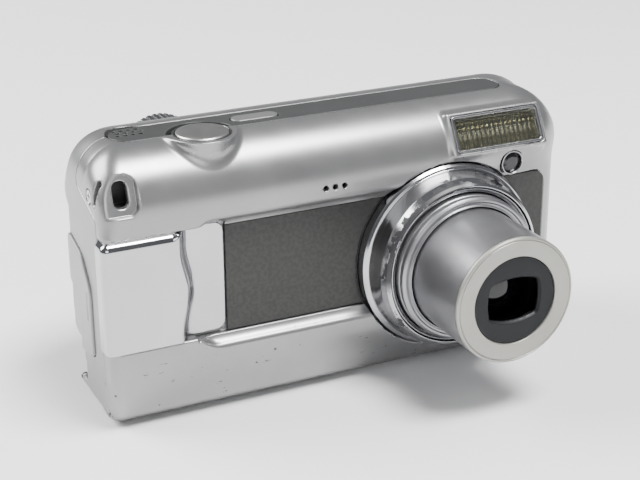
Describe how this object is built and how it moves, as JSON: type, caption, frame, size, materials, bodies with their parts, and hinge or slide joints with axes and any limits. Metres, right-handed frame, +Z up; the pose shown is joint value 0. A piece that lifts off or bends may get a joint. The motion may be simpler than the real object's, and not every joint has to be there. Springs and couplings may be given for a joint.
{
  "type": "compact digital camera",
  "caption": "Compact digital camera with an extending zoom lens, silver body, dark front panel, chrome grip plate, flash, rear screen and controls.",
  "frame": {"origin": "middle of the base plane, below the body, level with the front third of its depth", "axes": "+X across the body to the right seen from the front, -Y out of the lens, +Z up"},
  "size_m": [0.1048, 0.0605, 0.0556],
  "materials": {
    "casing_silver": "satin metallic silver paint on plastic, lightly scuffed",
    "cover_silver": "satin metallic silver paint on plastic",
    "dark_panel": "dark warm grey, satin",
    "bright_chrome": "bright plating, finely scratched",
    "satin_chrome": "satin plating",
    "gloss_black": "gloss black",
    "matte_black": "matte black",
    "barrel_grey": "satin grey paint",
    "face_metal": "warm spun aluminium",
    "optical_glass": "coated glass",
    "clear_window": "clear ribbed plastic",
    "reflector": "bright reflector",
    "white_plastic": "white engineering plastic",
    "brass_gear": "machined brass",
    "bare_steel": "plain steel",
    "circuit_board": "solder mask",
    "cell_jacket": "printed jacket, no marks",
    "card_blue": "dark blue plastic",
    "capacitor_sleeve": "shrink sleeve",
    "rubber_grey": "grey soft rubber",
    "screen_black": "gloss black window",
    "panel_module": "metal-framed display",
    "socket_metal": "plain metal insert"
  },
  "bodies": {
    "body": {"front_cover": "casing_silver", "rear_cover": "cover_silver", "top_panel": "dark_panel", "left_panel": "dark_panel", "right_panel": "dark_panel", "grip_plate": "bright_chrome", "lens_surround": "gloss_black", "lens_ring": "bright_chrome", "ring_insert": "satin_chrome", "lens_housing": "matte_black", "zoom_motor": "bare_steel", "focus_motor": "bare_steel", "image_sensor": "circuit_board", "case_screws": "bare_steel", "flash_bezel": "satin_chrome", "flash_window": "clear_window", "flash_reflector": "reflector", "flash_tube": "optical_glass", "flash_capacitor": "capacitor_sleeve", "focus_lamp": "gloss_black", "microphone": "bare_steel", "speaker": "matte_black", "button_frame": "matte_black", "screen_window": "screen_black", "screen_module": "panel_module", "main_board": "circuit_board", "chassis": "bare_steel", "battery_box": "matte_black", "batteries": "cell_jacket", "tripod_socket": "socket_metal"},
    "cam": {"cam_ring": "matte_black"},
    "middle": {"middle_tube": "barrel_grey"},
    "barrel": {"front_barrel": "barrel_grey", "face_ring": "face_metal", "aperture_disc": "matte_black", "front_lens": "optical_glass", "rear_lens": "optical_glass"},
    "blade_upper_inner": {"upper_inner_blade": "matte_black"},
    "blade_upper_outer": {"upper_outer_blade": "matte_black"},
    "blade_lower_inner": {"lower_inner_blade": "matte_black"},
    "blade_lower_outer": {"lower_outer_blade": "matte_black"},
    "idler": {"idler_gear": "white_plastic"},
    "pinion": {"motor_pinion": "brass_gear"},
    "focus_group": {"focus_carrier": "matte_black"},
    "screw": {"focus_screw": "bare_steel"},
    "shutter": {"shutter_button": "bright_chrome"},
    "power": {"power_button": "dark_panel"},
    "dial": {"mode_dial": "satin_chrome"},
    "rocker": {"zoom_rocker": "satin_chrome"},
    "pad_plate": {"pad_pivot": "matte_black"},
    "pad": {"direction_pad": "satin_chrome"},
    "set": {"set_button": "satin_chrome"},
    "print": {"print_button": "satin_chrome"},
    "playback": {"playback_button": "satin_chrome"},
    "display": {"display_button": "satin_chrome"},
    "menu": {"menu_button": "satin_chrome"},
    "door_carriage": {"door_slide": "bare_steel"},
    "door": {"battery_door": "cover_silver"},
    "terminal_flap": {"terminal_cover": "rubber_grey"},
    "card": {"memory_card": "card_blue"}
  },
  "joints": [
    {"name": "cam_ring_turn", "type": "hinge", "parent": "body", "child": "cam", "pos_m": [0.0204, 0, 0.0244], "axis": [0, 1, 0], "range_deg": [0, 120.1]},
    {"name": "middle_tube_slide", "type": "slide", "parent": "body", "child": "middle", "axis": [0, 1, 0], "range_m": [0, 0.00301]},
    {"name": "front_barrel_slide", "type": "slide", "parent": "middle", "child": "barrel", "axis": [0, 1, 0], "range_m": [0, 0.015]},
    {"name": "idler_gear_turn", "type": "hinge", "parent": "body", "child": "idler", "pos_m": [0.03419, 0, 0.01061], "axis": [0, 1, 0], "range_deg": [-664, 664]},
    {"name": "motor_pinion_turn", "type": "hinge", "parent": "body", "child": "pinion", "pos_m": [0.03969, 0, 0.01061], "axis": [0, 1, 0], "range_deg": [-800, 800]},
    {"name": "focus_slide", "type": "slide", "parent": "body", "child": "focus_group", "axis": [0, -1, 0], "range_m": [0, 0.0025]},
    {"name": "focus_screw_turn", "type": "hinge", "parent": "body", "child": "screw", "pos_m": [0.0204, 0, 0.0138], "axis": [0, 1, 0], "range_deg": [0, 905]},
    {"name": "upper_inner_blade_swing", "type": "hinge", "parent": "barrel", "child": "blade_upper_inner", "pos_m": [0.0102, -0.0413, 0.0244], "axis": [0, 1, 0], "range_deg": [0, 41], "stiffness_Nm_per_rad": 0.0004},
    {"name": "upper_outer_blade_swing", "type": "hinge", "parent": "barrel", "child": "blade_upper_outer", "pos_m": [0.0102, -0.0413, 0.0244], "axis": [0, 1, 0], "range_deg": [0, 22.2], "stiffness_Nm_per_rad": 0.0004},
    {"name": "lower_inner_blade_swing", "type": "hinge", "parent": "barrel", "child": "blade_lower_inner", "pos_m": [0.0306, -0.0413, 0.0244], "axis": [0, 1, 0], "range_deg": [0, 41], "stiffness_Nm_per_rad": 0.0004},
    {"name": "lower_outer_blade_swing", "type": "hinge", "parent": "barrel", "child": "blade_lower_outer", "pos_m": [0.0306, -0.0413, 0.0244], "axis": [0, 1, 0], "range_deg": [0, 22.2], "stiffness_Nm_per_rad": 0.0004},
    {"name": "shutter_press", "type": "slide", "parent": "body", "child": "shutter", "axis": [0, 0, -1], "range_m": [0, 0.001], "stiffness_N_per_m": 1500},
    {"name": "power_press", "type": "slide", "parent": "body", "child": "power", "axis": [0, 0, -1], "range_m": [0, 0.0006], "stiffness_N_per_m": 2500},
    {"name": "mode_dial_turn", "type": "hinge", "parent": "body", "child": "dial", "pos_m": [-0.0285, 0.013, 0.0434], "axis": [0, 1, 0], "continuous": true},
    {"name": "zoom_rocker_tilt", "type": "hinge", "parent": "body", "child": "rocker", "pos_m": [-0.0405, 0.0118, 0.033], "axis": [1, 0, 0], "range_deg": [-4, 4], "stiffness_Nm_per_rad": 0.15},
    {"name": "pad_tilt_up_down", "type": "hinge", "parent": "body", "child": "pad_plate", "pos_m": [-0.027, 0.0126, 0.021], "axis": [1, 0, 0], "range_deg": [-2, 2], "stiffness_Nm_per_rad": 0.15},
    {"name": "pad_tilt_left_right", "type": "hinge", "parent": "pad_plate", "child": "pad", "pos_m": [-0.027, 0.0126, 0.021], "axis": [0, 0, 1], "range_deg": [-2, 2], "stiffness_Nm_per_rad": 0.15},
    {"name": "set_press", "type": "slide", "parent": "body", "child": "set", "axis": [0, -1, 0], "range_m": [0, 0.0004], "stiffness_N_per_m": 3750},
    {"name": "print_press", "type": "slide", "parent": "body", "child": "print", "axis": [0, -1, 0], "range_m": [0, 0.0004], "stiffness_N_per_m": 3750},
    {"name": "playback_press", "type": "slide", "parent": "body", "child": "playback", "axis": [0, -1, 0], "range_m": [0, 0.0004], "stiffness_N_per_m": 3750},
    {"name": "display_press", "type": "slide", "parent": "body", "child": "display", "axis": [0, -1, 0], "range_m": [0, 0.0004], "stiffness_N_per_m": 3750},
    {"name": "menu_press", "type": "slide", "parent": "body", "child": "menu", "axis": [0, -1, 0], "range_m": [0, 0.0004], "stiffness_N_per_m": 3750},
    {"name": "battery_door_slide", "type": "slide", "parent": "body", "child": "door_carriage", "axis": [-1, 0, 0], "range_m": [0, 0.003]},
    {"name": "battery_door_hinge", "type": "hinge", "parent": "door_carriage", "child": "door", "pos_m": [-0.0503, -0.0046, 0.0023], "axis": [0, 1, 0], "range_deg": [0, 92]},
    {"name": "terminal_cover_hinge", "type": "hinge", "parent": "body", "child": "terminal_flap", "pos_m": [-0.0524, 0.0054, 0.023], "axis": [0, 0, -1], "range_deg": [0, 110]},
    {"name": "memory_card_push", "type": "slide", "parent": "body", "child": "card", "axis": [0, 0, 1], "range_m": [0, 0.001], "stiffness_N_per_m": 2000}
  ],
  "couplings": [
    {"joint": "middle_tube_slide", "follows": "front_barrel_slide", "ratio": 0.2},
    {"joint": "cam_ring_turn", "follows": "front_barrel_slide", "rad_per_m": 139.63},
    {"joint": "idler_gear_turn", "follows": "front_barrel_slide", "rad_per_m": -767.94},
    {"joint": "motor_pinion_turn", "follows": "front_barrel_slide", "rad_per_m": 921.53},
    {"joint": "focus_screw_turn", "follows": "focus_slide", "rad_per_m": 6283.2},
    {"joint": "upper_outer_blade_swing", "follows": "upper_inner_blade_swing", "ratio": 0.5366},
    {"joint": "lower_inner_blade_swing", "follows": "upper_inner_blade_swing", "ratio": 1},
    {"joint": "lower_outer_blade_swing", "follows": "upper_inner_blade_swing", "ratio": 0.5366}
  ]
}
